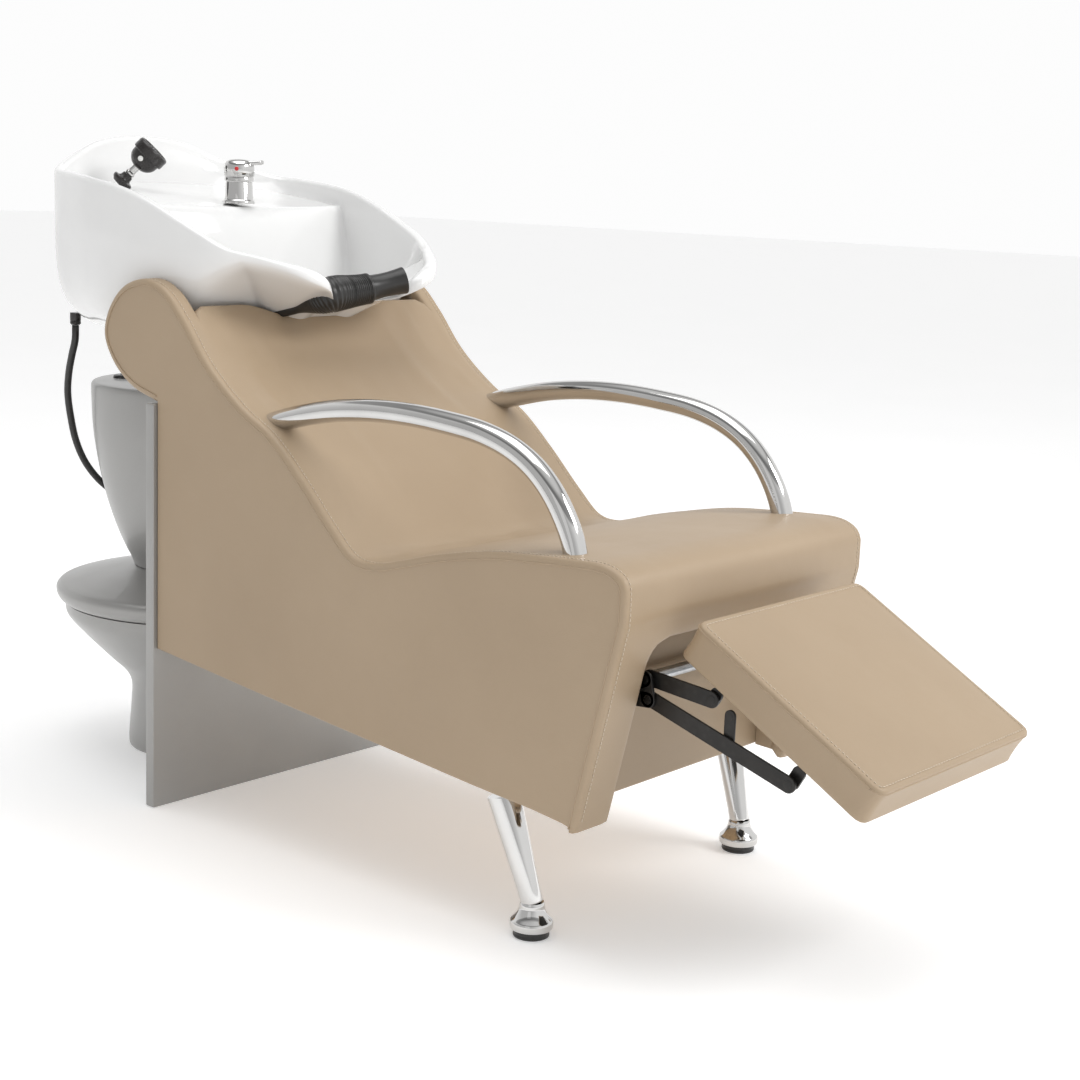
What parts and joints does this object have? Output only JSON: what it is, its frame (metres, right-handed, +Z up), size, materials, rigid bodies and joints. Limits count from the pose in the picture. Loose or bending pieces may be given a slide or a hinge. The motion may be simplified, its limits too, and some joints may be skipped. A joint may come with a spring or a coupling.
{
  "type": "shampoo backwash unit",
  "caption": "Salon backwash lounge with a tan leather seat, chrome arms, folding leg rest and a tilting ceramic basin on a silver pedestal.",
  "frame": {"origin": "bottom centre of the whole unit's bounding box, on the floor", "axes": "+Z up, -Y the way the seated client faces (leg rest), +Y the basin's end, +X the client's left hand"},
  "size_m": [0.572, 1.7261, 1.05],
  "materials": {
    "tan_leather": "satin",
    "plywood": "matte",
    "silver_board": "semi-gloss silver lacquer",
    "silver_gelcoat": "semi-gloss silver gel coat",
    "chrome": "mirror",
    "white_ceramic": "gloss glaze",
    "black_rubber": "matte",
    "black_steel": "satin black",
    "black_plastic": "gloss",
    "white_plastic": "matte",
    "red_plastic": "gloss",
    "zinc_steel": "zinc plated"
  },
  "bodies": {
    "frame": {"side_panel_left": "tan_leather", "side_panel_right": "tan_leather", "seat_cushion": "tan_leather", "back_cushion": "tan_leather", "seat_deck": "plywood", "back_deck": "plywood", "front_apron": "tan_leather", "front_column_left": "tan_leather", "front_column_right": "tan_leather", "recess_panel": "tan_leather", "bottom_panel": "plywood", "roll_bridge": "tan_leather", "rear_board": "silver_board", "armrest_left": "chrome", "armrest_right": "chrome", "leg_left": "chrome", "leg_right": "chrome", "foot_left": "chrome", "foot_right": "chrome", "foot_pad_left": "black_rubber", "foot_pad_right": "black_rubber", "column_shell": "silver_gelcoat", "hose_grommet": "black_plastic", "tray": "silver_gelcoat", "pedestal_base": "silver_gelcoat", "tilt_bracket": "zinc_steel", "hose_inlet": "black_plastic", "water_hose": "black_rubber", "legrest_bracket_left": "black_steel", "legrest_bracket_right": "black_steel"},
    "basin": {"basin_bowl": "white_ceramic", "drain_strainer": "chrome", "waste_tail": "white_plastic", "neck_rest": "black_rubber", "neck_collar": "black_rubber", "neck_rest_end": "black_rubber", "tilt_saddle": "white_plastic", "tilt_pin": "zinc_steel", "hose_tail": "black_plastic", "mixer_body": "chrome", "spray_socket": "black_plastic"},
    "mixer_swivel": {"mixer_collar": "chrome"},
    "mixer_lift": {"mixer_lever": "chrome", "mixer_index_dot": "red_plastic"},
    "spray_handset": {"spray_stub": "chrome", "spray_head": "black_plastic", "spray_face": "black_plastic"},
    "spray_trigger": {"spray_button": "white_plastic"},
    "legrest_crank": {"legrest_crank_left": "black_steel", "legrest_crank_right": "black_steel", "crank_shaft": "zinc_steel"},
    "legrest_lower": {"lower_bar_left": "black_steel", "lower_bar_right": "black_steel"},
    "legrest_pad": {"legrest_pad": "tan_leather", "legrest_frame": "black_steel", "legrest_brace_left": "black_steel", "legrest_brace_right": "black_steel"},
    "legrest_upper": {"upper_bar_left": "black_steel", "upper_bar_right": "black_steel"}
  },
  "joints": [
    {"name": "basin_tilt", "type": "hinge", "parent": "frame", "child": "basin", "pos_m": [0, 0.564, 0.684], "axis": [-1, 0, 0], "range_deg": [0, 12], "deforming": ["water_hose"]},
    {"name": "mixer_turn", "type": "hinge", "parent": "basin", "child": "mixer_swivel", "pos_m": [0, 0.522, 0.98], "axis": [0, 0, 1], "range_deg": [-45, 45]},
    {"name": "mixer_lift", "type": "hinge", "parent": "mixer_swivel", "child": "mixer_lift", "pos_m": [-0.0168, 0.542, 0.9884], "axis": [-0.7659, -0.6429, 0], "range_deg": [0, 18]},
    {"name": "spray_pull", "type": "slide", "parent": "basin", "child": "spray_handset", "axis": [0.5, -0.5, 0.7071], "range_m": [0, 0.12]},
    {"name": "spray_press", "type": "slide", "parent": "spray_handset", "child": "spray_trigger", "axis": [0.7661, 0.6361, -0.0919], "range_m": [0, 0.002], "stiffness_N_per_m": 600},
    {"name": "legrest_fold", "type": "hinge", "parent": "frame", "child": "legrest_crank", "pos_m": [0, -0.436, 0.345], "axis": [-1, 0, 0], "range_deg": [0, 55.4]},
    {"name": "legrest_lower_pivot", "type": "hinge", "parent": "legrest_crank", "child": "legrest_lower", "pos_m": [0, -0.515, 0.35], "axis": [1, 0, 0], "range_deg": [0, 133.1]},
    {"name": "legrest_pad_pivot", "type": "hinge", "parent": "legrest_lower", "child": "legrest_pad", "pos_m": [0, -0.731, 0.286], "axis": [-1, 0, 0], "range_deg": [0, 17.7]},
    {"name": "legrest_upper_pivot", "type": "hinge", "parent": "legrest_crank", "child": "legrest_upper", "pos_m": [0, -0.509, 0.376], "axis": [1, 0, 0], "range_deg": [0, 128.6]}
  ],
  "couplings": [
    {"joint": "legrest_lower_pivot", "follows": "legrest_fold", "ratio": 2.4},
    {"joint": "legrest_pad_pivot", "follows": "legrest_fold", "ratio": 0.318},
    {"joint": "legrest_upper_pivot", "follows": "legrest_fold", "ratio": 2.318}
  ]
}
